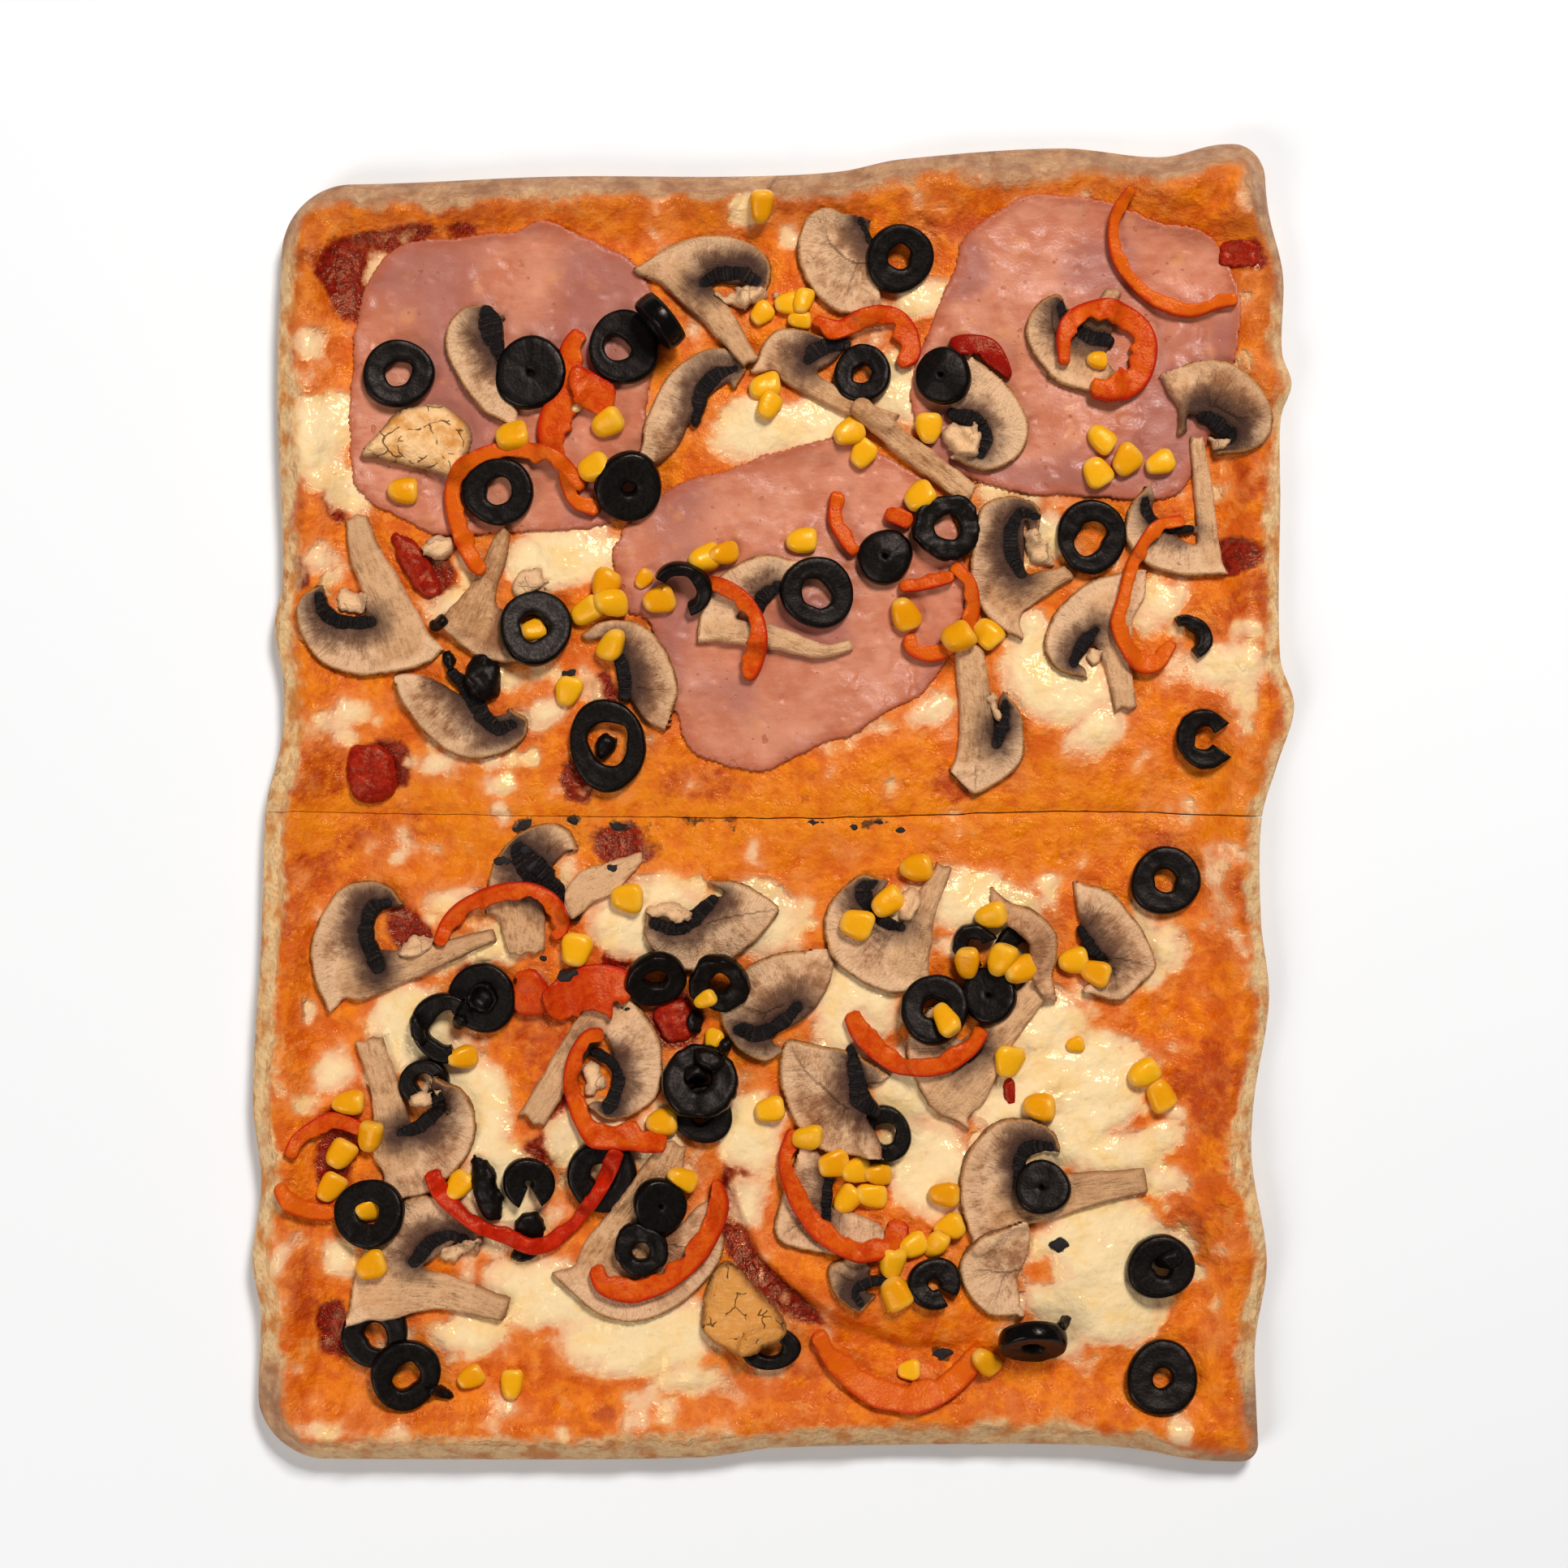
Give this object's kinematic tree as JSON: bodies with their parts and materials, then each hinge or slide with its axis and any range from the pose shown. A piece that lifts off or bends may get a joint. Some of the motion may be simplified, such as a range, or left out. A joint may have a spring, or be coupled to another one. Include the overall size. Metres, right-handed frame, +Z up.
{
  "type": "vegetable flatbread pizza",
  "caption": "Rectangular tray pizza cut across into two halves, topped with ham, mushroom slices, black olive rings, red pepper, sweetcorn and melted cheese.",
  "frame": {"origin": "centre of the pizza's underside, on the surface it lies on", "axes": "+Z up out of the toppings, +Y along the length towards the edge with the lumpy corner, +X across to the right of that"},
  "size_m": [0.323, 0.4087, 0.0321],
  "materials": {
    "crust": "baked dough with oily sauce and melted cheese",
    "ham": "moist pink cooked ham",
    "mushroom": "cut mushroom flesh with tan skin",
    "olive": "sliced black olive, charcoal cut faces",
    "pepper": "glossy roasted red pepper skin",
    "corn": "glossy yellow sweetcorn",
    "tomato": "dark red cooked tomato"
  },
  "bodies": {
    "root": {"crust_upper": "crust", "crust_lower": "crust", "ham_upper_left": "ham", "ham_upper_right": "ham", "ham_middle": "ham", "mushroom_01": "mushroom", "mushroom_02": "mushroom", "mushroom_03": "mushroom", "mushroom_04": "mushroom", "mushroom_05": "mushroom", "mushroom_06": "mushroom", "mushroom_07": "mushroom", "mushroom_08": "mushroom", "mushroom_09": "mushroom", "mushroom_10": "mushroom", "mushroom_11": "mushroom", "mushroom_12": "mushroom", "mushroom_13": "mushroom", "mushroom_14": "mushroom", "mushroom_15": "mushroom", "mushroom_16": "mushroom", "mushroom_17": "mushroom", "mushroom_18": "mushroom", "mushroom_19": "mushroom", "mushroom_20": "mushroom", "mushroom_21": "mushroom", "mushroom_22": "mushroom", "mushroom_23": "mushroom", "mushroom_24": "mushroom", "mushroom_25": "mushroom", "olive_01": "olive", "olive_02": "olive", "olive_03": "olive", "olive_04": "olive", "olive_05": "olive", "olive_06": "olive", "olive_07": "olive", "olive_08": "olive", "olive_09": "olive", "olive_10": "olive", "olive_11": "olive", "olive_12": "olive", "olive_13": "olive", "olive_14": "olive", "olive_15": "olive", "olive_16": "olive", "olive_17": "olive", "olive_18": "olive", "pepper_01": "pepper", "pepper_02": "pepper", "pepper_03": "pepper", "pepper_04": "pepper", "pepper_05": "pepper", "pepper_06": "pepper", "pepper_07": "pepper", "pepper_08": "pepper", "pepper_09": "pepper", "pepper_10": "pepper", "pepper_11": "pepper", "pepper_12": "pepper"}
  },
  "joints": []
}
